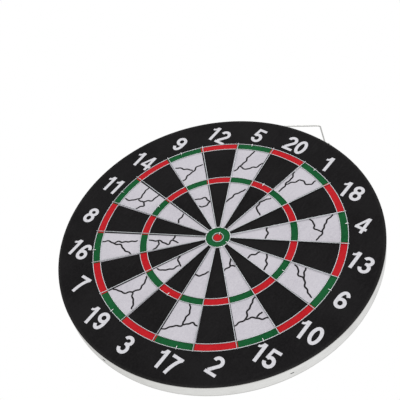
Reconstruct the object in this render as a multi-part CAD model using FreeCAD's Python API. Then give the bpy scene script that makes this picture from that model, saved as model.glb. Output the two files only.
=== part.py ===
import FreeCAD, Part
import math
import os
from FreeCAD import Vector

# A round, two-faced dartboard that hangs on a wall. Every size is in millimetres and every angle in degrees.
# The board hangs on +Z up. Its back face lies on the wall, in the plane Y = 0, and the thrower stands on the -Y side.
# The origin is the centre of the back face. Angles on the board run clockwise from the top, as the thrower sees it.

# ---- Board ----
board_diameter = 305.0
core_thickness = 13.0        # width of the paper strip that is wound into the core
steel_thickness = 0.3        # tinplate sheet under each face, which a magnet holds to
face_thickness = 0.5         # flocked face sheet
band_thickness = 0.6         # paper band round the rim
band_seam_gap = 0.5          # the band's two ends stop this far apart
band_seam_angle = 322.0

# ---- Wire spider on the front face ----
spider_offset_x = 0.4        # the spider is laid by hand, so it sits a little off the board's centre
spider_offset_z = 0.0
sector_count = 20
ring_wire_diameter = 0.8
radial_wire_diameter = 0.8
wire_seat = 0.2              # the rings are pulled this deep into the flock
weld_depth = 0.2             # each radial wire is welded this deep into the rings that it crosses
double_outer_radius = 119.1
double_ring_width = 7.0      # between the two wires of the double ring
treble_outer_radius = 74.3
treble_ring_width = 7.0
outer_bull_radius = 11.7
inner_bull_radius = 5.1
radial_overhang = 1.0        # a radial wire ends this far outside the outermost ring
radial_inner_lap = 0.4       # and this far inside the outer bull ring

# ---- Wire staples that tie the rings down ----
ring_staple_wire_diameter = 0.7
ring_staple_crown = 3.8          # overall length of the crown, across the ring
ring_staple_bend_radius = 0.6
ring_staple_clearance = 0.05     # between a staple's crown and the ring that it holds
ring_staple_leg_gap = 0.1        # between the ring and the leg just outside it; the other leg is well inside
ring_staple_depth = 6.0          # how far the legs go in below the face
double_staple_first_angle = 16.0
double_staple_count = 10
treble_staple_first_angle = 0.0
treble_staple_count = 4
outer_bull_staple_angle = 93.0
inner_bull_staple_angle = 347.0

# ---- Staples that hold the band to the core ----
band_staple_wire_diameter = 0.6
band_staple_crown = 4.0          # overall length of the crown, along the band
band_staple_bend_radius = 0.7
band_staple_depth = 5.0
band_staple_seat = 0.15          # the crown is driven this deep into the band
band_staple_first_angle = 119.5
band_staple_step = 64.0
band_staple_count = 5

# ---- Hanger: a wire bail that turns in two staples on top of the rim ----
hanger_angle = -3.4              # place on the rim
hanger_setback = 5.0             # from the front face to the axis that the bail turns on
bail_wire_diameter = 1.4
bail_half_width = 28.7           # from the middle to the bend at each foot
bail_height = 27.8               # from the axis to the middle of the flat at the top
bail_top_half_width = 1.2
bail_peak_offset = 6.5           # the top is bent this far to the right, back towards the middle of the board
bail_foot_length = 7.0
bail_bend_radius = 2.0
bail_foot_gap = 0.8              # between a foot and the highest rim below it
bail_running_clearance = 0.08    # radial, between a foot and the staple that it turns in
wall_gap = 0.15                  # at rest the bail leans back to just short of the wall
hanger_staple_wire_diameter = 1.0
hanger_staple_depth = 9.0        # how far the legs go in below the rim

# ---- Worked out from the sizes above ----
board_radius = board_diameter / 2
core_radius = board_radius - band_thickness
board_thickness = core_thickness + 2 * (steel_thickness + face_thickness)
band_width = core_thickness + 2 * steel_thickness

back_sheet_y = 0.0
back_steel_y = -face_thickness
core_y = back_steel_y - steel_thickness
front_steel_y = core_y - core_thickness
front_sheet_y = front_steel_y - steel_thickness
front_y = -board_thickness

spider_centre = Vector(spider_offset_x, 0, spider_offset_z)
ring_y = front_y + wire_seat - ring_wire_diameter / 2
radial_y = ring_y + weld_depth - (ring_wire_diameter + radial_wire_diameter) / 2
sector_angle = 360.0 / sector_count

bail_foot_rim_z = math.sqrt(board_radius ** 2 - bail_half_width ** 2)
bail_axis_y = front_y + hanger_setback
bail_axis_z = bail_foot_rim_z + bail_foot_gap + bail_wire_diameter / 2
bail_lean = math.degrees(math.asin((-bail_axis_y - wall_gap - bail_wire_diameter / 2) / bail_height))

ALONG_Y = Vector(0, 1, 0)
TO_THROWER = Vector(0, -1, 0)


def disc(radius, back_y, thickness):
    """A flat disc on the board's axis, from back_y towards the thrower."""
    return Part.makeCylinder(radius, thickness, Vector(0, back_y, 0), TO_THROWER)


def turned(shape, angle, centre=Vector(0, 0, 0)):
    """A copy of the shape, turned clockwise round the board as the thrower sees it."""
    copy = shape.copy()
    copy.rotate(centre, ALONG_Y, angle)
    return copy


def group(solids):
    """Separate solids as one shape."""
    return Part.makeCompound(solids)


def bent_wire(points, bend_radius, wire_diameter):
    """A round wire along straight runs through the points, with each inner point rounded to the bend radius."""
    edges = []
    run_start = points[0]
    for before, corner, after in zip(points, points[1:], points[2:]):
        inward = (before - corner).normalize()
        outward = (after - corner).normalize()
        half_angle = inward.getAngle(outward) / 2
        cut_back = bend_radius / math.tan(half_angle)
        arc_start = corner + inward * cut_back
        arc_end = corner + outward * cut_back
        middle_way = (inward + outward).normalize()
        centre = corner + middle_way * (bend_radius / math.sin(half_angle))
        arc_middle = centre - middle_way * bend_radius
        if run_start.distanceToPoint(arc_start) > 1e-6:
            edges.append(Part.LineSegment(run_start, arc_start).toShape())
        edges.append(Part.Arc(arc_start, arc_middle, arc_end).toShape())
        run_start = arc_end
    edges.append(Part.LineSegment(run_start, points[-1]).toShape())
    path = Part.Wire(edges)
    first_run = (points[1] - points[0]).normalize()
    section = Part.Wire(Part.makeCircle(wire_diameter / 2, points[0], first_run))
    return path.makePipeShell([section], True, False)


def u_staple(leg_spacing, bend_radius, leg_length, wire_diameter):
    """A staple with its crown's centre line on Z = 0, along X, and its legs down to Z = -leg_length."""
    half = leg_spacing / 2
    points = [
        Vector(-half, 0, -leg_length),
        Vector(-half, 0, 0),
        Vector(half, 0, 0),
        Vector(half, 0, -leg_length),
    ]
    return bent_wire(points, bend_radius, wire_diameter)


def ring(radius):
    """One ring of the spider."""
    centre = spider_centre + ALONG_Y * ring_y
    return Part.makeTorus(radius, ring_wire_diameter / 2, centre, ALONG_Y)


def ring_staple(ring_radius, angle):
    """A flat-topped staple over a ring, with one leg close outside the wire and the other well inside it."""
    crown_y = ring_y - (ring_wire_diameter + ring_staple_wire_diameter) / 2 - ring_staple_clearance
    spacing = ring_staple_crown - ring_staple_wire_diameter
    outer_leg = (ring_wire_diameter + ring_staple_wire_diameter) / 2 + ring_staple_leg_gap
    leg_length = front_y + ring_staple_depth - crown_y
    staple = u_staple(spacing, ring_staple_bend_radius, leg_length, ring_staple_wire_diameter)
    staple.rotate(Vector(0, 0, 0), Vector(1, 0, 0), 90)      # crown towards the thrower
    staple.rotate(Vector(0, 0, 0), ALONG_Y, 90)              # legs inside and outside the ring
    staple.translate(spider_centre + Vector(0, crown_y, ring_radius + outer_leg - spacing / 2))
    return turned(staple, angle, spider_centre)


def spaced_staples(ring_radius, first_angle, count):
    """Staples evenly spaced round a ring."""
    return [ring_staple(ring_radius, first_angle + 360.0 * i / count) for i in range(count)]


def radial_wire(number, rings):
    """One straight wire on top of the rings, between two sectors, with a welded seat over each ring."""
    inner_end = outer_bull_radius - radial_inner_lap
    outer_end = double_outer_radius + radial_overhang
    start = spider_centre + Vector(0, radial_y, inner_end)
    wire = Part.makeCylinder(radial_wire_diameter / 2, outer_end - inner_end, start, Vector(0, 0, 1))
    return turned(wire.cut(rings), (number - 0.5) * sector_angle, spider_centre)


def band_staple(angle):
    """A flat-topped staple driven into the rim, with its crown along the band."""
    crown_z = board_radius + band_staple_wire_diameter / 2 - band_staple_seat
    spacing = band_staple_crown - band_staple_wire_diameter
    leg_length = crown_z - board_radius + band_staple_depth
    staple = u_staple(spacing, band_staple_bend_radius, leg_length, band_staple_wire_diameter)
    staple.translate(Vector(0, -board_thickness / 2, crown_z))
    return turned(staple, angle)


def edge_band():
    """The paper band round the rim, between the two face sheets, open at its seam."""
    outside = disc(board_radius, back_steel_y, band_width)
    inside = disc(core_radius, back_steel_y, band_width)
    seam_size = Vector(band_seam_gap, band_width, 4 * band_thickness)
    seam_corner = Vector(-band_seam_gap / 2, back_steel_y - band_width, board_radius - 3 * band_thickness)
    seam = Part.makeBox(seam_size.x, seam_size.y, seam_size.z, seam_corner)
    return outside.cut([inside, turned(seam, band_seam_angle)])


def hanger_bail():
    """The bail as it rests, leaning back from its feet until its top is just short of the wall."""
    foot_end = bail_half_width + bail_foot_length
    points = [
        Vector(-foot_end, 0, 0),
        Vector(-bail_half_width, 0, 0),
        Vector(bail_peak_offset - bail_top_half_width, 0, bail_height),
        Vector(bail_peak_offset + bail_top_half_width, 0, bail_height),
        Vector(bail_half_width, 0, 0),
        Vector(foot_end, 0, 0),
    ]
    bail = bent_wire(points, bail_bend_radius, bail_wire_diameter)
    bail.rotate(Vector(0, 0, 0), Vector(1, 0, 0), -bail_lean)
    bail.translate(Vector(0, bail_axis_y, bail_axis_z))
    return turned(bail, hanger_angle)


def hanger_staple(side):
    """A round-topped staple over one foot of the bail, side = -1 on the left and 1 on the right."""
    crown_radius = (bail_wire_diameter + hanger_staple_wire_diameter) / 2 + bail_running_clearance
    crown_z = bail_axis_z + crown_radius
    x = bail_half_width + bail_foot_length / 2
    rim_z = math.sqrt(board_radius ** 2 - x ** 2)
    leg_length = crown_z - rim_z + hanger_staple_depth
    staple = u_staple(2 * crown_radius, crown_radius, leg_length, hanger_staple_wire_diameter)
    staple.rotate(Vector(0, 0, 0), Vector(0, 0, 1), 90)      # legs in front of and behind the foot
    staple.translate(Vector(side * x, bail_axis_y, crown_z))
    return turned(staple, hanger_angle)


ring_radii = {
    "double_outer_ring": double_outer_radius,
    "double_inner_ring": double_outer_radius - double_ring_width,
    "treble_outer_ring": treble_outer_radius,
    "treble_inner_ring": treble_outer_radius - treble_ring_width,
    "outer_bull_ring": outer_bull_radius,
    "inner_bull_ring": inner_bull_radius,
}
rings = {name: ring(radius) for name, radius in ring_radii.items()}
crossed_rings = [rings[name] for name in ring_radii if name != "inner_bull_ring"]

double_staples = spaced_staples(double_outer_radius, double_staple_first_angle, double_staple_count)
treble_staples = spaced_staples(treble_outer_radius, treble_staple_first_angle, treble_staple_count)
bull_staples = [
    ring_staple(outer_bull_radius, outer_bull_staple_angle),
    ring_staple(inner_bull_radius, inner_bull_staple_angle),
]
face_staples = double_staples + treble_staples + bull_staples
band_staples = [band_staple(band_staple_first_angle + band_staple_step * i) for i in range(band_staple_count)]
hanger_staples = {"hanger_staple_left": hanger_staple(-1), "hanger_staple_right": hanger_staple(1)}
rim_staples = band_staples + list(hanger_staples.values())

nodes = {
    "back_flock_face": disc(board_radius, back_sheet_y, face_thickness),
    "back_steel_sheet": disc(core_radius, back_steel_y, steel_thickness),
    "wound_paper_core": disc(core_radius, core_y, core_thickness).cut(face_staples + rim_staples),
    "front_steel_sheet": disc(core_radius, front_steel_y, steel_thickness).cut(face_staples),
    "front_flock_face": disc(board_radius, front_sheet_y, face_thickness).cut(face_staples + list(rings.values())),
    "edge_band": edge_band().cut(rim_staples),
    "double_ring_staples": group(double_staples),
    "treble_ring_staples": group(treble_staples),
    "bull_ring_staples": group(bull_staples),
    "edge_band_staples": group(band_staples),
    "hanger_bail": hanger_bail(),
}
nodes.update(rings)
nodes.update(hanger_staples)
for number in range(1, sector_count + 1):
    nodes[f"radial_wire_{number:02d}"] = radial_wire(number, crossed_rings)

os.makedirs("parts", exist_ok=True)
for name, shape in nodes.items():
    shape.exportStep(f"parts/{name}.step")
    print(name, len(shape.Solids), shape.isValid(), round(shape.Volume, 2))

hinge_point = turned(Part.Vertex(0, bail_axis_y, bail_axis_z), hanger_angle).Point
print("bail axis passes through", [round(v, 3) for v in hinge_point])
print("bail leans back", round(bail_lean, 2), "degrees at rest")
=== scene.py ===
import math

import bmesh
import bpy
import numpy as np
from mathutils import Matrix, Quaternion, Vector


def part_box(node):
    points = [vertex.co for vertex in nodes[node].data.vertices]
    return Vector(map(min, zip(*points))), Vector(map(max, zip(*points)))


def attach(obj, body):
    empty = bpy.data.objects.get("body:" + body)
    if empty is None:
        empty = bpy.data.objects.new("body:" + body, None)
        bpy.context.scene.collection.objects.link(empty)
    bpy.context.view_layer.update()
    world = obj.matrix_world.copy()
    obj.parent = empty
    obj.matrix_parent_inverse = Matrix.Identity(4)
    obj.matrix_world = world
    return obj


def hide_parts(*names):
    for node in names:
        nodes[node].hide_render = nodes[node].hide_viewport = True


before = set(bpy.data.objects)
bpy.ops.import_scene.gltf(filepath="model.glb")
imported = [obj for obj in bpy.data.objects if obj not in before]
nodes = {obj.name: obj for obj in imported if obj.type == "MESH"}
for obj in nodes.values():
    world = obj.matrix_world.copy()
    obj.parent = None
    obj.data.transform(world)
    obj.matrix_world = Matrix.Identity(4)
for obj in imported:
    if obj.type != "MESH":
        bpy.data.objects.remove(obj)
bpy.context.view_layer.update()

# A round two-faced dartboard: flocked paper faces, a paper band round the rim, and a spider of steel wire.
# Lengths are in metres unless a name ends in _mm. Angles on a face are in degrees, clockwise from the top as the
# thrower sees that face.

MM = 0.001


# ---- Sizes read from the board ----

face_low, face_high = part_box("front_flock_face")
board_radius = (face_high.x - face_low.x) / 2
front_y = face_low.y
sheet_thickness = face_high.y - face_low.y
back_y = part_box("back_flock_face")[1].y

# The rings that the radial wires cross.
CROSSED_RINGS = [
    "double_outer_ring", "double_inner_ring", "treble_outer_ring", "treble_inner_ring", "outer_bull_ring",
]


def ring_sizes(node):
    """A ring's radius along its wire, and the place of its centre."""
    low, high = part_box(node)
    wire_radius = (high.y - low.y) / 2
    return (high.x - low.x) / 2 - wire_radius, (low + high) / 2


ring_radius = {name: ring_sizes(name)[0] for name in CROSSED_RINGS + ["inner_bull_ring"]}
spider_centre = ring_sizes("double_outer_ring")[1]
wire_radius = (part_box("double_outer_ring")[1].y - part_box("double_outer_ring")[0].y) / 2


# ---- The print on both faces ----

SECTORS = 20
SECTOR_ANGLE = 360 / SECTORS
SECTOR_STEPS = 12                              # a sheet's edge has this many straight steps in each sector
NUMBERS = [20, 1, 18, 4, 13, 6, 10, 15, 2, 17, 3, 19, 7, 16, 8, 11, 14, 9, 12, 5]
print_centre = np.array([0.1, -0.1]) * MM      # the print was laid a little off the board's centre
print_turn = -0.65                             # and turned a little under the spider
print_spread = 0.2 * MM                        # the black fields run this far over into their neighbours
red_bull_gap = 1.2 * MM                        # the red bull is printed this much smaller than its ring
print_depth = 0.03 * MM                        # ink stands this far above the flock that it is printed on
numeral_height = 18.8 * MM
numeral_circle = 132.8 * MM
numeral_weight = 0.9                           # stroke width, as a share of the drawn digit's
crack_width = 1.7 * MM
crack_tip_share = 0.75                         # a crack's width at its ends, as a share of its width in the middle
# The waves of a crack's wander: each one's reach, its length over 2 pi, and the factor of its phase.
CRACK_WAVES_MM = ((0.42, 1.1, 1), (0.65, 2.2, 2))

back_numeral_height = 0.084 * board_radius
back_numeral_stretch = 1.25                    # the back's digits are wider than the front's by this factor
black_numeral_weight = 1.1
white_numeral_weight = 0.65
# The back's printed circles, and the heights of its numbers 1 to 9, as shares of the board's radius.
BACK_CIRCLE_SHARES = [0.034, 0.163, 0.259, 0.355, 0.452, 0.548, 0.644, 0.741, 0.8375]
BACK_NUMBER_SHARES = [0.889, 0.782, 0.69, 0.595, 0.49, 0.397, 0.3, 0.2, 0.107]


# ---- Nodes and colours ----

def srgb(code):
    """An sRGB hex colour as the linear colour that a shader takes."""
    value = np.array([int(code[i:i + 2], 16) for i in (0, 2, 4)]) / 255
    linear = np.where(value <= 0.04045, value / 12.92, ((value + 0.055) / 1.055) ** 2.4)
    return (*linear.tolist(), 1.0)


def add(tree, kind, inputs=None, **settings):
    """Adds a shader node. Settings are its properties. Each input is given a value, or is linked to a socket."""
    node = tree.nodes.new(kind)
    for name, value in settings.items():
        setattr(node, name, value)
    for name, value in (inputs or {}).items():
        if isinstance(value, bpy.types.NodeSocket):
            tree.links.new(value, node.inputs[name])
        else:
            node.inputs[name].default_value = value
    return node


def start_material(name):
    """A new material's node tree, with a point's place on the object in millimetres."""
    material = bpy.data.materials.new(name)
    material.use_nodes = True
    tree = material.node_tree
    tree.nodes.clear()
    place = add(tree, "ShaderNodeTexCoord")
    in_mm = add(tree, "ShaderNodeVectorMath", {0: place.outputs["Object"], "Scale": 1000.0}, operation="SCALE")
    return material, tree, in_mm.outputs[0]


def finish_material(tree, shader):
    """Links the shader to the material's surface."""
    add(tree, "ShaderNodeOutputMaterial", {"Surface": shader.outputs[0]})


# ---- Materials ----

def flocked_paper(name, pile, shaded, lifted, edge_sheen):
    """Rayon flock on paper, electrostatically laid. It gives the eye a dull velvet with no highlight, in which small
    tufts lean different ways and faint strokes show where it was brushed; along the outer edge a painted sheen is
    mixed in."""
    material, tree, in_mm = start_material(name)
    # Tufts are 0.5 mm in life. They are drawn at 1.5 mm so that they show.
    tufts = add(tree, "ShaderNodeTexNoise", {"Vector": in_mm, "Scale": 1 / 1.5, "Detail": 3.0, "Roughness": 0.7})
    brushed = add(tree, "ShaderNodeMapping", {
        "Vector": in_mm,
        "Rotation": (0.0, 0.6, 0.0),
        "Scale": (1.0, 1.0, 0.22),
    })
    strokes = add(tree, "ShaderNodeTexNoise", {"Vector": brushed.outputs[0], "Scale": 1 / 2.2, "Detail": 2.0})
    cloud = add(tree, "ShaderNodeTexNoise", {"Vector": in_mm, "Scale": 1 / 38, "Detail": 2.0})
    tone = add(tree, "ShaderNodeMapRange", {0: tufts.outputs[0], 1: 0.32, 2: 0.68})
    fleck = add(tree, "ShaderNodeMapRange", {0: strokes.outputs[0], 1: 0.55, 2: 0.8, 4: 0.5})
    broad = add(tree, "ShaderNodeMapRange", {0: cloud.outputs[0], 1: 0.35, 2: 0.7, 4: 0.45})
    grown = add(tree, "ShaderNodeMix", {0: tone.outputs[0], 6: srgb(shaded), 7: srgb(pile)}, data_type="RGBA")
    stroked = add(tree, "ShaderNodeMix", {0: fleck.outputs[0], 6: grown.outputs[2], 7: srgb(lifted)},
                  data_type="RGBA")
    clouded = add(tree, "ShaderNodeMix", {0: broad.outputs[0], 6: stroked.outputs[2], 7: srgb(lifted)},
                  data_type="RGBA")
    # Distance from the board's axis, for the painted sheen along the outer edge.
    sheen_starts, sheen_ends = 149.5, 152.6            # millimetres from the axis
    axes = add(tree, "ShaderNodeSeparateXYZ", {0: in_mm})
    flat = add(tree, "ShaderNodeCombineXYZ", {"X": axes.outputs[0], "Y": axes.outputs[2]})
    reach = add(tree, "ShaderNodeVectorMath", {0: flat.outputs[0]}, operation="LENGTH")
    edge_sheen_ramp = add(tree, "ShaderNodeMapRange", {0: reach.outputs["Value"], 1: sheen_starts, 2: sheen_ends, 4: 0.3})
    edge_sheen_mask = add(tree, "ShaderNodeMath", {0: edge_sheen_ramp.outputs[0], 1: tufts.outputs[0]}, operation="MULTIPLY")
    # Painted sheen: the edge colour is mixed in towards the outer edge, broken by the tufts.
    with_edge_sheen = add(tree, "ShaderNodeMix", {0: edge_sheen_mask.outputs[0], 6: clouded.outputs[2], 7: srgb(edge_sheen)},
               data_type="RGBA")
    height = add(tree, "ShaderNodeMath", {0: tufts.outputs[0], 1: strokes.outputs[0]}, operation="ADD")
    pile_bump = add(tree, "ShaderNodeBump", {"Height": height.outputs[0], "Strength": 0.5, "Distance": 0.15 * MM})
    shader = add(tree, "ShaderNodeBsdfPrincipled", {
        "Base Color": with_edge_sheen.outputs[2],
        "Roughness": 0.95,
        "Specular IOR Level": 0.06,
        "Normal": pile_bump.outputs[0],
    })
    finish_material(tree, shader)
    return material


def screen_ink(name, full, thin):
    """Ink screen-printed on flock. It gives the eye a flat, dull colour, broken by the pile's tufts."""
    material, tree, in_mm = start_material(name)
    tufts = add(tree, "ShaderNodeTexNoise", {"Vector": in_mm, "Scale": 1 / 1.2, "Detail": 3.0, "Roughness": 0.7})
    cover = add(tree, "ShaderNodeMapRange", {0: tufts.outputs[0], 1: 0.3, 2: 0.6})
    ink = add(tree, "ShaderNodeMix", {0: cover.outputs[0], 6: srgb(thin), 7: srgb(full)}, data_type="RGBA")
    bump = add(tree, "ShaderNodeBump", {"Height": tufts.outputs[0], "Strength": 0.4, "Distance": 0.1 * MM})
    shader = add(tree, "ShaderNodeBsdfPrincipled", {
        "Base Color": ink.outputs[2],
        "Roughness": 0.85,
        "Specular IOR Level": 0.25,
        "Normal": bump.outputs[0],
    })
    finish_material(tree, shader)
    return material


def drawn_wire(name, bright, dull, roughness):
    """Drawn steel wire with a zinc coat. It gives the eye a pale silver line, with duller spangles and bloom."""
    material, tree, in_mm = start_material(name)
    spangle = add(tree, "ShaderNodeTexVoronoi", {"Vector": in_mm, "Scale": 1 / 2.0})
    bloom = add(tree, "ShaderNodeTexNoise", {"Vector": in_mm, "Scale": 1 / 5.0, "Detail": 4.0})
    patch = add(tree, "ShaderNodeMath", {0: spangle.outputs["Distance"], 1: bloom.outputs[0]}, operation="MULTIPLY")
    zinc = add(tree, "ShaderNodeMix", {0: patch.outputs[0], 6: srgb(bright), 7: srgb(dull)}, data_type="RGBA")
    polish = add(tree, "ShaderNodeMapRange", {0: bloom.outputs[0], 3: roughness - 0.08, 4: roughness + 0.12})
    die_lines = add(tree, "ShaderNodeTexNoise", {"Vector": in_mm, "Scale": 1 / 0.4, "Detail": 2.0})
    bump = add(tree, "ShaderNodeBump", {"Height": die_lines.outputs[0], "Strength": 0.25, "Distance": 0.03 * MM})
    shader = add(tree, "ShaderNodeBsdfPrincipled", {
        "Base Color": zinc.outputs[2],
        "Metallic": 1.0,
        "Roughness": polish.outputs[0],
        "Normal": bump.outputs[0],
    })
    finish_material(tree, shader)
    return material


def band_paper():
    """Uncoated white paper tape wound round the rim. It gives the eye a matt off-white with long faint streaks that
    run round the rim, small grey fibres, a few handling smudges, and a soft shade where it meets each face sheet."""
    material, tree, in_mm = start_material("white_paper_tape")
    tape_middle_mm = (front_y + back_y) / 2 / MM
    shade_starts, shade_ends = 5.4, 6.6            # millimetres from the tape's middle
    around = add(tree, "ShaderNodeMapping", {"Vector": in_mm, "Scale": (0.12, 1.6, 0.12)})
    streaks = add(tree, "ShaderNodeTexNoise", {"Vector": around.outputs[0], "Scale": 1.0, "Detail": 4.0})
    fibres = add(tree, "ShaderNodeTexNoise", {"Vector": in_mm, "Scale": 1 / 1.1, "Detail": 4.0, "Roughness": 0.75})
    smudges = add(tree, "ShaderNodeTexNoise", {"Vector": in_mm, "Scale": 1 / 24, "Detail": 3.0})
    streaked = add(tree, "ShaderNodeMapRange", {0: streaks.outputs[0], 1: 0.35, 2: 0.7})
    paper = add(tree, "ShaderNodeMix", {0: streaked.outputs[0], 6: srgb("FBFBFA"), 7: srgb("F0F0EF")},
                data_type="RGBA")
    speck = add(tree, "ShaderNodeMapRange", {0: fibres.outputs[0], 1: 0.6, 2: 0.75, 4: 0.4})
    speckled = add(tree, "ShaderNodeMix", {0: speck.outputs[0], 6: paper.outputs[2], 7: srgb("CFCECC")},
                   data_type="RGBA")
    smear = add(tree, "ShaderNodeMapRange", {0: smudges.outputs[0], 1: 0.55, 2: 0.8, 4: 0.5})
    handled = add(tree, "ShaderNodeMix", {0: smear.outputs[0], 6: speckled.outputs[2], 7: srgb("D6D5D3")},
                  data_type="RGBA")
    axes = add(tree, "ShaderNodeSeparateXYZ", {0: in_mm})
    from_middle = add(tree, "ShaderNodeMath", {0: axes.outputs[1], 1: tape_middle_mm}, operation="SUBTRACT")
    off_middle = add(tree, "ShaderNodeMath", {0: from_middle.outputs[0]}, operation="ABSOLUTE")
    shade = add(tree, "ShaderNodeMapRange", {0: off_middle.outputs[0], 1: shade_starts, 2: shade_ends, 4: 1.0})
    shaded = add(tree, "ShaderNodeMix", {0: shade.outputs[0], 6: handled.outputs[2], 7: srgb("D2D1CF")},
                 data_type="RGBA")
    bump = add(tree, "ShaderNodeBump", {"Height": fibres.outputs[0], "Strength": 0.3, "Distance": 0.08 * MM})
    shader = add(tree, "ShaderNodeBsdfPrincipled", {
        "Base Color": shaded.outputs[2],
        "Roughness": 0.8,
        "Specular IOR Level": 0.3,
        "Normal": bump.outputs[0],
    })
    finish_material(tree, shader)
    return material


def cut_paper():
    """The cut edge of the paper under the flock. It gives the eye a pale line with plies that run round the
    board."""
    material, tree, in_mm = start_material("cut_paper_edge")
    plies = add(tree, "ShaderNodeMapping", {"Vector": in_mm, "Scale": (0.3, 9.0, 0.3)})
    grain = add(tree, "ShaderNodeTexNoise", {"Vector": plies.outputs[0], "Scale": 1.0, "Detail": 3.0})
    edge = add(tree, "ShaderNodeMix", {0: grain.outputs[0], 6: srgb("FCFCFC"), 7: srgb("E6E6E5")}, data_type="RGBA")
    bump = add(tree, "ShaderNodeBump", {"Height": grain.outputs[0], "Strength": 0.4, "Distance": 0.05 * MM})
    shader = add(tree, "ShaderNodeBsdfPrincipled", {
        "Base Color": edge.outputs[2],
        "Roughness": 0.85,
        "Normal": bump.outputs[0],
    })
    finish_material(tree, shader)
    return material


def wound_paper():
    """Kraft paper strip wound edge-on into a disc. It gives the eye a brown end-grain of fine rings.
    A turn is 0.3 mm of paper. The rings are drawn 1 mm apart so that they show."""
    material, tree, in_mm = start_material("wound_kraft_paper")
    turns = add(tree, "ShaderNodeTexWave", {"Vector": in_mm, "Scale": 1 / 1.0, "Distortion": 1.5, "Detail": 2.0},
                wave_type="RINGS", rings_direction="Y")
    fibres = add(tree, "ShaderNodeTexNoise", {"Vector": in_mm, "Scale": 1 / 0.8, "Detail": 4.0})
    kraft = add(tree, "ShaderNodeMix", {0: turns.outputs["Fac"], 6: srgb("A98A5F"), 7: srgb("CDB28A")},
                data_type="RGBA")
    mottle = add(tree, "ShaderNodeMix", {0: fibres.outputs[0], 6: kraft.outputs[2], 7: srgb("BFA27A")},
                 data_type="RGBA")
    bump = add(tree, "ShaderNodeBump", {"Height": turns.outputs["Fac"], "Strength": 0.5, "Distance": 0.2 * MM})
    shader = add(tree, "ShaderNodeBsdfPrincipled", {
        "Base Color": mottle.outputs[2],
        "Roughness": 0.88,
        "Normal": bump.outputs[0],
    })
    finish_material(tree, shader)
    return material


def tinplate():
    """Rolled steel sheet with a tin coat. It gives the eye a grey sheet with fine rolling lines and dull clouds."""
    material, tree, in_mm = start_material("tinplate")
    rolled = add(tree, "ShaderNodeMapping", {"Vector": in_mm, "Scale": (0.05, 1.0, 2.0)})
    lines = add(tree, "ShaderNodeTexNoise", {"Vector": rolled.outputs[0], "Scale": 1.0, "Detail": 4.0})
    clouds = add(tree, "ShaderNodeTexNoise", {"Vector": in_mm, "Scale": 1 / 18, "Detail": 3.0})
    tin = add(tree, "ShaderNodeMix", {0: clouds.outputs[0], 6: srgb("D3D4D4"), 7: srgb("A9ABAC")}, data_type="RGBA")
    polish = add(tree, "ShaderNodeMapRange", {0: lines.outputs[0], 3: 0.22, 4: 0.45})
    bump = add(tree, "ShaderNodeBump", {"Height": lines.outputs[0], "Strength": 0.2, "Distance": 0.02 * MM})
    shader = add(tree, "ShaderNodeBsdfPrincipled", {
        "Base Color": tin.outputs[2],
        "Metallic": 1.0,
        "Roughness": polish.outputs[0],
        "Normal": bump.outputs[0],
    })
    finish_material(tree, shader)
    return material


def painted_floor():
    """A pale painted floor with a faint roller mottle."""
    material, tree, in_mm = start_material("pale_painted_floor")
    mottle = add(tree, "ShaderNodeTexNoise", {"Vector": in_mm, "Scale": 1 / 220, "Detail": 4.0})
    paint = add(tree, "ShaderNodeMix", {0: mottle.outputs[0], 6: srgb("E6E6E4"), 7: srgb("DEDEDB")},
                data_type="RGBA")
    shader = add(tree, "ShaderNodeBsdfPrincipled", {"Base Color": paint.outputs[2], "Roughness": 0.7})
    finish_material(tree, shader)
    return material


# The last colour of each flock is the painted sheen along its outer edge.
black_flock = flocked_paper("black_flock", pile="201F20", shaded="161516", lifted="272627", edge_sheen="5A5958")
white_flock = flocked_paper("white_flock", pile="D2CFD6", shaded="C3BFC8", lifted="DAD7DE", edge_sheen="CCCACC")
red_flock = flocked_paper("red_flock", pile="C9222A", shaded="B01A22", lifted="D03038", edge_sheen="B05050")
green_flock = flocked_paper("green_flock", pile="1A6035", shaded="134B29", lifted="26693E", edge_sheen="5A7A60")
white_ink = screen_ink("white_ink", full="E4E3E8", thin="C6C5CB")
black_ink = screen_ink("black_ink", full="141214", thin="221F22")
spider_zinc = drawn_wire("zinc_coated_spider_wire", bright="C6C9CC", dull="95989B", roughness=0.36)
# The outer bull ring's zinc is lighter than the spider's, as a painted highlight on the ring.
bull_ring_highlight_zinc = drawn_wire("bull_ring_wire_painted_highlight", bright="E8EAEC", dull="C4C7CA", roughness=0.36)
staple_zinc = drawn_wire("zinc_coated_staple_wire", bright="F4F5F6", dull="DADCDE", roughness=0.3)
rim_zinc = drawn_wire("dull_rim_staple_wire", bright="75777A", dull="4C4E50", roughness=0.5)
hanger_zinc = drawn_wire("zinc_coated_hanger_wire", bright="CFCFCC", dull="A5A6A5", roughness=0.32)
paper_tape = band_paper()
paper_edge = cut_paper()
kraft_core = wound_paper()
tin_sheet = tinplate()

NODE_MATERIALS = {
    "wound_paper_core": kraft_core,
    "front_steel_sheet": tin_sheet,
    "back_steel_sheet": tin_sheet,
    "edge_band": paper_tape,
    "outer_bull_ring": bull_ring_highlight_zinc,
    "double_ring_staples": staple_zinc,
    "treble_ring_staples": staple_zinc,
    "bull_ring_staples": staple_zinc,
    "edge_band_staples": rim_zinc,
    "hanger_staple_left": hanger_zinc,
    "hanger_staple_right": hanger_zinc,
    "hanger_bail": hanger_zinc,
    "front_flock_face": black_flock,
    "back_flock_face": white_flock,
}
for name, node in nodes.items():
    node.material_slots[0].material = NODE_MATERIALS.get(name, spider_zinc)


# ---- Mesh pieces ----

def grid_faces(rows, columns, wrap_rows=False, wrap_columns=False):
    """The quads between neighbouring points of a grid, as rows of four point numbers."""
    i, j = np.meshgrid(np.arange(rows - (not wrap_rows)), np.arange(columns - (not wrap_columns)), indexing="ij")
    below, beside = (i + 1) % rows, (j + 1) % columns
    quads = [i * columns + j, i * columns + beside, below * columns + beside, below * columns + j]
    return np.stack(quads, axis=-1).reshape(-1, 4)


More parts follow.
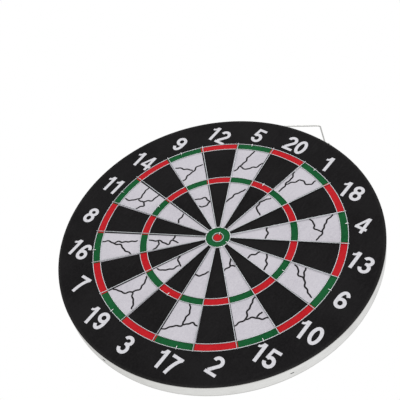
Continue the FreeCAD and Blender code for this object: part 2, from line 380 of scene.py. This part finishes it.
def make_piece(name, points, faces, materials, face_materials, sharp_angle=40):
    """One closed mesh piece on the board: doubled points are merged, and its faces then point outwards."""
    mesh = bpy.data.meshes.new(name)
    mesh.from_pydata(points.reshape(-1, 3).tolist(), [], [tuple(face) for face in faces])
    for material in materials:
        mesh.materials.append(material)
    mesh.polygons.foreach_set("material_index", np.broadcast_to(face_materials, len(faces)).astype(np.int32))
    shell = bmesh.new()
    shell.from_mesh(mesh)
    bmesh.ops.remove_doubles(shell, verts=shell.verts, dist=1e-7)
    bmesh.ops.recalc_face_normals(shell, faces=shell.faces)
    shell.to_mesh(mesh)
    shell.free()
    mesh.shade_smooth()
    mesh.set_sharp_from_angle(angle=math.radians(sharp_angle))
    piece = bpy.data.objects.new(name, mesh)
    bpy.context.scene.collection.objects.link(piece)
    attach(piece, "board")
    return piece


def face_sheet(name, colour_radii, colours, face_y, outward, centre, turn, materials):
    """A flocked sheet, as a profile turned round the board's axis. The profile runs from the middle out over the
    flock, round a soft edge, down the cut paper edge and back underneath to the middle. Each printed ring lies
    between two of the colour radii, and the colours give its material sector by sector. From the last printed circle
    outwards, the print's centre gives way in a straight line to the board's centre. The lines that bound the black
    fields are moved outwards by the print's spread: in full from the second colour radius on, and within it in
    proportion to the radius.
    x = c + r sin a and z = c + r cos a, for a centre c, a radius r and an angle a."""
    angle = np.radians(turn + (np.arange(SECTORS * SECTOR_STEPS) / SECTOR_STEPS - 0.5) * SECTOR_ANGLE)
    edge = 0.3 * MM                # radius of the flock's soft edge
    paper_inset = 0.06 * MM        # the cut paper lies this far inside the flock's edge
    spread_from = colour_radii[1]
    bend = np.radians([0, 22.5, 45, 67.5, 90])
    flat_radii = np.concatenate([[0.0], colour_radii, [board_radius - edge]])
    flat_colours = np.arange(len(colour_radii) + 1)
    edge_radii = board_radius - edge + edge * np.sin(bend[1:])
    edge_depth = edge - edge * np.cos(bend[1:])
    paper_radius = board_radius - paper_inset
    radius = np.concatenate([flat_radii, edge_radii, [paper_radius, paper_radius, 0.0]])
    depth = np.concatenate([flat_radii * 0, edge_depth, [edge, sheet_thickness, sheet_thickness]])
    last_print = colour_radii[-1]
    off_centre = np.clip((board_radius - edge - radius) / (board_radius - edge - last_print), 0, 1)
    off_centre = np.where(depth > 0, 0, off_centre)
    # 0 where a black field starts, 1 where it ends.
    field_edge = np.arange(len(angle)) % (2 * SECTOR_STEPS) / SECTOR_STEPS
    spread = print_spread * ((field_edge == 1).astype(float) - (field_edge == 0))
    spread_angle = angle + spread / np.maximum(radius, spread_from)[:, None]
    x = centre[0] * off_centre[:, None] + radius[:, None] * np.sin(spread_angle)
    z = centre[1] * off_centre[:, None] + radius[:, None] * np.cos(spread_angle)
    y = np.broadcast_to((face_y - outward * depth)[:, None], x.shape)
    points = np.stack([x, y, z], axis=-1)
    faces = grid_faces(*x.shape, wrap_columns=True)
    row, column = np.divmod(np.arange(len(faces)), x.shape[1])
    sector = column // SECTOR_STEPS
    last_ring = len(flat_colours) - 1
    printed = np.array(colours)[np.minimum(row, last_ring), sector % 2]
    cut_edge = row > last_ring + len(edge_radii)
    material = np.where(cut_edge, len(materials) - 1, printed)
    return make_piece(name, points, faces, materials, material)


BLACK, WHITE, RED, GREEN = range(4)
flock_colours = [black_flock, white_flock, red_flock, green_flock, paper_edge]

front_radii = np.array([ring_radius[name] for name in (
    "inner_bull_ring", "outer_bull_ring", "treble_inner_ring", "treble_outer_ring",
    "double_inner_ring", "double_outer_ring")])
front_radii[0] -= red_bull_gap
front_colours = [
    (RED, RED),
    (GREEN, GREEN),
    (BLACK, WHITE),
    (RED, GREEN),
    (BLACK, WHITE),
    (RED, GREEN),
    (BLACK, BLACK),
]
front_sheet = face_sheet(
    "front_flocked_sheet", front_radii, front_colours, front_y + print_depth, -1,
    print_centre, print_turn, flock_colours)
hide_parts("front_flock_face")

back_radii = np.array(BACK_CIRCLE_SHARES) * board_radius
back_colours = [(RED, RED)] + [(WHITE, WHITE), (BLACK, BLACK)] * 4 + [(WHITE, WHITE)]
back_sheet = face_sheet(
    "back_flocked_sheet", back_radii, back_colours, back_y - print_depth, 1,
    np.zeros(2), 0.0, flock_colours)
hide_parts("back_flock_face")


# ---- Numerals and cracks: flat bands of ink along paths ----

def arc(x, y, half_width, half_height, start, end):
    """Part of an ellipse. Angles are counter-clockwise from the right."""
    angle = np.radians(np.linspace(start, end, max(3, round(abs(end - start) / 9))))
    return np.stack([x + half_width * np.cos(angle), y + half_height * np.sin(angle)], axis=1)


def sweep(start, pull, end):
    """A curve from start to end that leaves and arrives along the lines through the pull point."""
    t = np.linspace(0, 1, 9)[:, None]
    start, pull, end = np.array(start), np.array(pull), np.array(end)
    return (1 - t) ** 2 * start + 2 * t * (1 - t) * pull + t ** 2 * end


def bar(start, end):
    """A straight run."""
    return np.array([start, end], float)


# Each digit is one unit high. Its strokes are paths down their middles, with a stroke width.
MIDDLE = 0.3175
BOLD = 0.19
BAR = 0.17
SIX = [
    (arc(MIDDLE, 0.5, 0.2075, 0.405, 180, 35), BOLD),
    (arc(MIDDLE, 0.3075, 0.2075, 0.2125, -180, 180), BOLD),
    (bar((0.11, 0.3), (0.11, 0.52)), BOLD),
]
DIGITS = {
    "0": [(arc(MIDDLE, 0.5, 0.2075, 0.405, -180, 180), BOLD)],
    "1": [
        (bar((0.365, 0.0), (0.365, 1.0)), BOLD),
        (sweep((0.085, 0.755), (0.26, 0.75), (0.31, 0.98)), 0.13),
    ],
    "2": [
        (np.concatenate([
            arc(0.3075, 0.7, 0.2, 0.205, 175, -35),
            sweep((0.46, 0.56), (0.36, 0.45), (0.125, 0.16)),
        ]), BOLD),
        (bar((0.015, 0.085), (0.61, 0.085)), BAR),
    ],
    "3": [
        (arc(0.295, 0.725, 0.19, 0.18, 168, -90), BOLD),
        (arc(0.295, 0.32, 0.21, 0.225, 90, -170), BOLD),
        (bar((0.22, 0.545), (0.32, 0.545)), 0.16),
    ],
    "4": [
        (bar((0.45, 0.0), (0.45, 1.0)), BAR),
        (bar((0.41, 0.95), (0.07, 0.3)), 0.14),
        (bar((0.01, 0.285), (0.63, 0.285)), BAR),
    ],
    "5": [
        (bar((0.1, 0.915), (0.575, 0.915)), BAR),
        (bar((0.165, 0.98), (0.11, 0.44)), 0.16),
        (arc(0.3, 0.325, 0.21, 0.23, 148, -170), BOLD),
    ],
    "6": SIX,
    "7": [
        (bar((0.02, 0.915), (0.61, 0.915)), BAR),
        (sweep((0.52, 0.9), (0.28, 0.6), (0.225, 0.0)), BOLD),
    ],
    "8": [
        (arc(MIDDLE, 0.7225, 0.19, 0.1825, -180, 180), BOLD),
        (arc(MIDDLE, 0.3175, 0.2075, 0.2225, -180, 180), BOLD),
    ],
    "9": [((2 * MIDDLE, 1.0) - path, width) for path, width in SIX],
}
ADVANCE = 0.64             # from one digit's left side to the next one's
ELEVEN_TIGHTER = 0.08      # two ones beside each other are set closer
INK_LEVELS = 4             # strokes that cross lie on different levels, so that no two tops share a plane
INK_LEVEL_STEP = 0.15      # one level, as a share of the ink's depth


def flat_band(path, width):
    """A flat band of ink: the path's points moved to each side by half the width, on two levels, closed all round.
    Gives its points as (across, up, level), with level 0 in the flock and 1 on top, and its faces."""
    loop = np.allclose(path[0], path[-1])
    if loop:
        path = path[:-1]
        along = np.roll(path, -1, axis=0) - np.roll(path, 1, axis=0)
    else:
        along = np.gradient(path, axis=0)
    along = along / np.linalg.norm(along, axis=1, keepdims=True)
    side = np.stack([-along[:, 1], along[:, 0]], axis=1) * np.broadcast_to(width, len(path))[:, None] / 2
    corners = np.stack([path - side, path - side, path + side, path + side], axis=1)
    level = np.broadcast_to([0.0, 1.0, 1.0, 0.0], corners.shape[:2])
    points = np.concatenate([corners, level[..., None]], axis=2).reshape(-1, 3)
    faces = grid_faces(len(path), 4, wrap_rows=loop, wrap_columns=True).tolist()
    if not loop:
        last = 4 * (len(path) - 1)
        faces += [[0, 1, 2, 3], [last + 3, last + 2, last + 1, last]]
    return points, faces


def zip_pairs(text):
    """Each letter with the one after it."""
    return [a + b for a, b in zip(text, text[1:])]


def number_strokes(number, height, weight):
    """A number's strokes about its own middle, each a path and a width."""
    text = str(number)
    start = np.cumsum([0.0] + [ADVANCE - ELEVEN_TIGHTER * (pair == "11") for pair in zip_pairs(text)])
    total = start[-1] + ADVANCE
    return [
        ((path + (left - total / 2, -0.5)) * height, width * weight * height)
        for digit, left in zip(text, start)
        for path, width in DIGITS[digit]
    ]


def ink_piece(name, strokes, face_y, outward, mirror, material):
    """Strokes of ink as one piece on a face. Their tops take each ink level in turn, so that strokes that cross lie
    a hair apart. Seen from behind the board, right is -X, so the back is mirrored."""
    all_points, all_faces, count = [], [], 0
    for order, (path, width) in enumerate(strokes):
        points, faces = flat_band(path, width)
        x = points[:, 0] * mirror
        top = print_depth * (1 - INK_LEVEL_STEP * (order % INK_LEVELS))
        y = face_y - outward * (print_depth - top * points[:, 2])
        all_points.append(np.stack([x, y, points[:, 1]], axis=1))
        all_faces += [[count + corner for corner in face] for face in faces]
        count += len(points)
    return make_piece(name, np.concatenate(all_points), all_faces, [material], 0)


def at_angle(angle, radius):
    """A point on a face, from its angle and its distance from the middle."""
    return np.array([radius * math.sin(math.radians(angle)), radius * math.cos(math.radians(angle))])


front_strokes = []
for place, number in enumerate(NUMBERS):
    middle = print_centre + at_angle(place * SECTOR_ANGLE + print_turn, numeral_circle)
    digits = number_strokes(number, numeral_height, numeral_weight)
    front_strokes += [(path + middle, width) for path, width in digits]
ink_piece("front_numerals", front_strokes, front_y, -1, 1, white_ink)


def back_numbers(values, weight):
    """The numbers 1 to 9 down to the middle of the back, and again, upright, up from the bottom."""
    centres = dict(zip(range(1, 10), np.array(BACK_NUMBER_SHARES) * board_radius))
    strokes = []
    for value in values:
        for height in (centres[value], -centres[value]):
            digit = number_strokes(value, back_numeral_height, weight)
            strokes += [(path * (back_numeral_stretch, 1.0) + (0, height), width) for path, width in digit]
    return strokes


black_digits = back_numbers([1, 3, 5, 7, 9], black_numeral_weight)
white_digits = back_numbers([2, 4, 6, 8], white_numeral_weight)
ink_piece("back_numerals_on_white", black_digits, back_y, 1, -1, black_ink)
ink_piece("back_numerals_on_black", white_digits, back_y, 1, -1, white_ink)

# Cracks printed on the pale fields, field by field. Each is a line through a few points, in millimetres across and
# up from the board's centre.
CRACKS_MM = {
    "5": [
        [(-34, 107), (-34, 82), (-36, 74)],
        [(-34, 82), (-27, 82), (-20, 89), (-17, 97)],
    ],
    "1": [
        [(17, 103), (19, 93), (18, 74)],
        [(19, 85), (25, 93), (27, 97), (35, 95), (40, 97), (41, 103)],
    ],
    "4": [
        [(77, 76), (76, 63), (80, 55), (80, 43)],
        [(61, 61), (66, 60), (70, 54), (79, 54)],
    ],
    "6": [
        [(78, 11), (83, 9), (87, 4), (94, 2), (104, -8), (110, -10)],
        [(88, 13), (94, 2)],
    ],
    "15": [
        [(68, -34), (69, -43), (74, -58), (70, -68)],
        [(74, -58), (81, -51), (86, -50), (90, -46)],
        [(81, -51), (82, -44)],
    ],
    "17": [
        [(23, -71), (27, -74), (31, -91), (26, -96), (18, -104)],
        [(31, -91), (35, -88), (38, -84), (43, -85)],
    ],
    "19": [
        [(-30, -69), (-26, -75), (-26, -82), (-29, -89), (-37, -94), (-48, -96)],
        [(-29, -89), (-21, -98), (-18, -103)],
    ],
    "16": [
        [(-94, -61), (-87, -57), (-74, -55), (-67, -57), (-58, -58)],
        [(-82, -57), (-79, -52), (-70, -48), (-64, -42)],
        [(-55, -36), (-46, -32), (-35, -30), (-35, -24), (-28, -24)],
        [(-46, -32), (-43, -35), (-44, -43)],
        [(-37, -19), (-35, -24)],
    ],
    "11": [
        [(-110, -9), (-104, -8), (-97, -3), (-98, 14)],
        [(-97, -3), (-92, -3), (-86, -6), (-92, -13)],
        [(-91, -3), (-85, 2), (-82, 12)],
    ],
    "9": [
        [(-69, 66), (-72, 61), (-73, 37)],
        [(-73, 54), (-80, 53), (-91, 48)],
    ],
    "inner fields": [
        [(-12, 61), (-14, 56), (-18, 46), (-19, 37)],
        [(16, 64), (9, 53), (12, 46), (19, 41)],
        [(33, 33), (37, 28), (39, 21)],
        [(44, 7), (39, 0), (38, -5)],
        [(50, 8), (56, 0), (58, -8)],
        [(25, -12), (29, -20), (28, -27)],
        [(29, -20), (34, -18)],
        [(7, -45), (12, -43), (17, -35)],
        [(-17, -35), (-15, -41), (-9, -44)],
        [(-11, -44), (-16, -52), (-20, -56), (-27, -57)],
        [(-46, 6), (-45, 0), (-43, -7)],
        [(-48, 25), (-40, 32), (-32, 31), (-35, 21), (-39, 21)],
    ],
}


def crack_path(points_mm, phase):
    """A crack through its points. Steps of about a millimetre follow the straight runs, each is averaged with its
    neighbours to soften the bends, and the line then wanders to each side by the sum of the crack waves, which are
    sines of its length. The wander fades to nothing at both ends, and the width to the tip's share."""
    corners = np.array(points_mm, float) * MM
    run = np.concatenate([[0], np.cumsum(np.linalg.norm(np.diff(corners, axis=0), axis=1))])
    along = np.linspace(0, run[-1], max(6, round(run[-1] / (1.0 * MM))))
    path = np.stack([np.interp(along, run, corners[:, axis]) for axis in (0, 1)], axis=1)
    for _ in range(2):
        path[1:-1] = (path[:-2] + 2 * path[1:-1] + path[2:]) / 4
    heading = np.gradient(path, axis=0)
    heading /= np.linalg.norm(heading, axis=1, keepdims=True)
    side = np.stack([-heading[:, 1], heading[:, 0]], axis=1)
    wander = sum(reach * np.sin(along / (length * MM) + factor * phase) for reach, length, factor in CRACK_WAVES_MM)
    fade = np.sin(np.pi * np.clip(along / run[-1], 0, 1)) ** 0.35
    width = crack_width * (crack_tip_share + (1 - crack_tip_share) * fade)
    return path + side * (wander * fade * MM)[:, None], width


crack_lines = [line for lines in CRACKS_MM.values() for line in lines]
ink_piece("front_cracks", [crack_path(line, number) for number, line in enumerate(crack_lines)],
          front_y, -1, 1, black_ink)


# ---- Weld beads where the radial wires cross the rings ----

def weld_beads():
    """A flattened ball of metal at each crossing, as a function of its latitude u and longitude v:
    (a cos u cos v, b sin u, a cos u sin v), halfway between the two wires."""
    a, b = 1.7 * wire_radius, 1.45 * wire_radius
    u, v = np.meshgrid(np.radians(np.linspace(-90, 90, 6)), np.radians(np.arange(0, 360, 45)), indexing="ij")
    ball = np.stack([a * np.cos(u) * np.cos(v), b * np.sin(u), a * np.cos(u) * np.sin(v)], axis=-1)
    crossing_y = spider_centre.y - wire_radius
    angle = np.radians((np.arange(SECTORS) + 0.5) * SECTOR_ANGLE)
    radius = np.array([ring_radius[name] for name in CROSSED_RINGS])[:, None]
    x = spider_centre.x + radius * np.sin(angle)
    z = spider_centre.z + radius * np.cos(angle)
    centres = np.stack([x, np.full(x.shape, crossing_y), z], axis=-1).reshape(-1, 1, 1, 3)
    points = (centres + ball).reshape(-1, 3)
    one = grid_faces(*u.shape, wrap_columns=True)
    faces = (one + np.arange(len(centres))[:, None, None] * u.size).reshape(-1, 4)
    return make_piece("weld_beads", points, faces, [spider_zinc], 0, sharp_angle=80)


weld_beads()


# ---- Floor, light and camera ----

floor_mesh = bpy.data.meshes.new("floor")
bull_height = 1.73         # the board's middle hangs this far above the floor
half_floor = 6.0
corner = [(-half_floor, -half_floor), (half_floor, -half_floor), (half_floor, half_floor), (-half_floor, half_floor)]
floor_mesh.from_pydata([(x, y, -bull_height) for x, y in corner], [], [(0, 1, 2, 3)])
floor_mesh.materials.append(painted_floor())
floor = bpy.data.objects.new("floor", floor_mesh)
bpy.context.scene.collection.objects.link(floor)


def soft_light(name, place, size, power):
    """A square soft light at a place, aimed at the middle of the board."""
    lamp = bpy.data.lights.new(name, "AREA")
    lamp.shape = "SQUARE"
    lamp.size = size
    lamp.energy = power
    light = bpy.data.objects.new(name, lamp)
    light.location = place
    light.rotation_euler = (-Vector(place)).to_track_quat("-Z", "Y").to_euler()
    bpy.context.scene.collection.objects.link(light)


soft_light("key_light", (-0.9, -1.9, 1.5), 1.6, 24.0)
soft_light("fill_light", (1.5, -1.2, -0.9), 1.4, 11.0)

# The room is an even pale grey to everything but the camera, which sees it white.
world = bpy.data.worlds.new("studio")
world.use_nodes = True
bpy.context.scene.world = world
sky = world.node_tree
sky.nodes.clear()
seen = add(sky, "ShaderNodeBackground", {"Color": srgb("FFFFFF"), "Strength": 1.0})
room = add(sky, "ShaderNodeBackground", {"Color": srgb("FFFFFF"), "Strength": 0.62})
ray = add(sky, "ShaderNodeLightPath")
blend = add(sky, "ShaderNodeMixShader", {0: ray.outputs["Is Camera Ray"], 1: room.outputs[0], 2: seen.outputs[0]})
add(sky, "ShaderNodeOutputWorld", {"Surface": blend.outputs[0]})

lens = bpy.data.cameras.new("camera")
lens.lens = 72.2
lens.sensor_width = 36.0
camera = bpy.data.objects.new("camera", lens)
camera_place = Vector((0.34874, -0.59617, -0.30695))
aim = Vector((-0.04265, front_y, 0.02747))
camera_roll = math.radians(42.38)
camera.location = camera_place
camera.rotation_mode = "QUATERNION"
camera.rotation_quaternion = (aim - camera_place).to_track_quat("-Z", "Y") @ Quaternion((0, 0, 1), camera_roll)
bpy.context.scene.collection.objects.link(camera)
bpy.context.scene.camera = camera
bpy.context.scene.view_settings.view_transform = "Standard"
